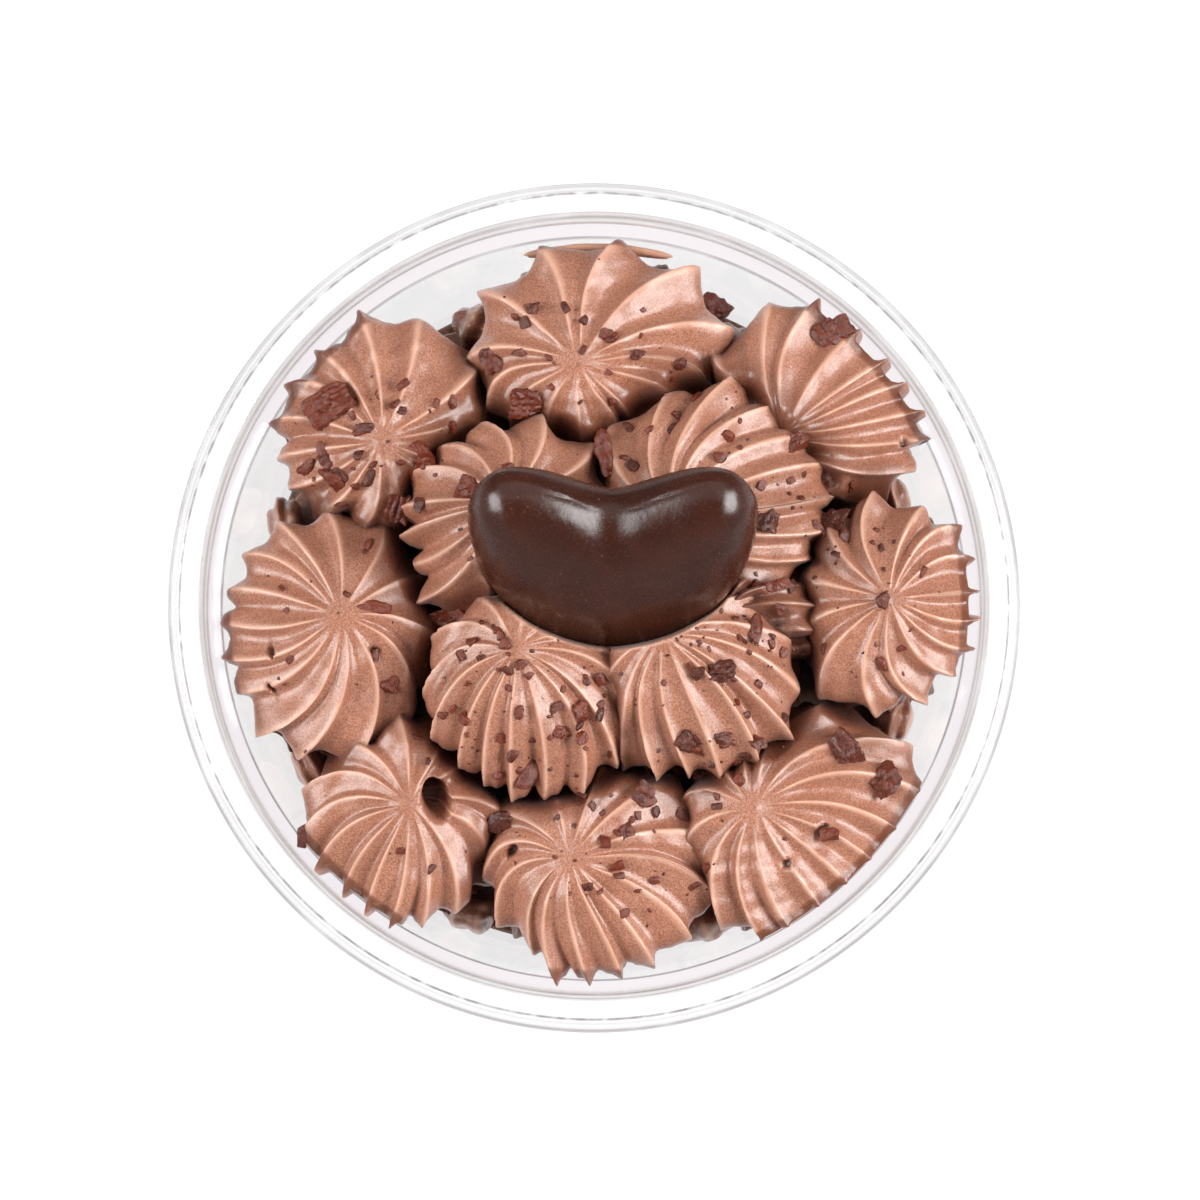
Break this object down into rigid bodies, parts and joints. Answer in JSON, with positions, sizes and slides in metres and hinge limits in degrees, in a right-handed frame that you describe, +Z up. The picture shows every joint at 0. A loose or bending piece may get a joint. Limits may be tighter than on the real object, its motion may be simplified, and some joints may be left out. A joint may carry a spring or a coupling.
{
  "type": "cup of chocolate tres leches cake",
  "caption": "Clear plastic dessert cup filled with soaked chocolate cake, topped with piped chocolate cream rosettes, cocoa nib chips and a puffy dark chocolate heart.",
  "frame": {"origin": "centre of the cup's foot ring on the surface that it stands on", "axes": "+Z up out of the cup's mouth, +X to the right and +Y towards the top of the view from above, so that the heart's lobes point to +Y and its face leans towards -Y"},
  "size_m": [0.12, 0.12, 0.0774],
  "materials": {
    "clear_plastic": "clear, thin, glossy thermoformed plastic",
    "sponge": "moist chocolate sponge with an open crumb",
    "cream": "smooth whipped chocolate cream with a soft sheen",
    "dark_chocolate": "tempered dark chocolate with a soft gloss",
    "cocoa_nib": "rough roasted cocoa nib with a dull shine"
  },
  "bodies": {
    "root": {"cup": "clear_plastic", "cake": "sponge", "cream_bed": "cream", "heart": "dark_chocolate", "rosette_inner_lower_left": "cream", "rosette_inner_lower_right": "cream", "rosette_inner_upper_left": "cream", "rosette_inner_upper_right": "cream", "rosette_inner_right": "cream", "rosette_outer_top": "cream", "rosette_outer_right": "cream", "rosette_outer_left": "cream", "rosette_outer_bottom": "cream", "rosette_outer_upper_right": "cream", "rosette_outer_upper_left": "cream", "rosette_outer_lower_left": "cream", "rosette_outer_lower_right": "cream"}
  },
  "joints": []
}
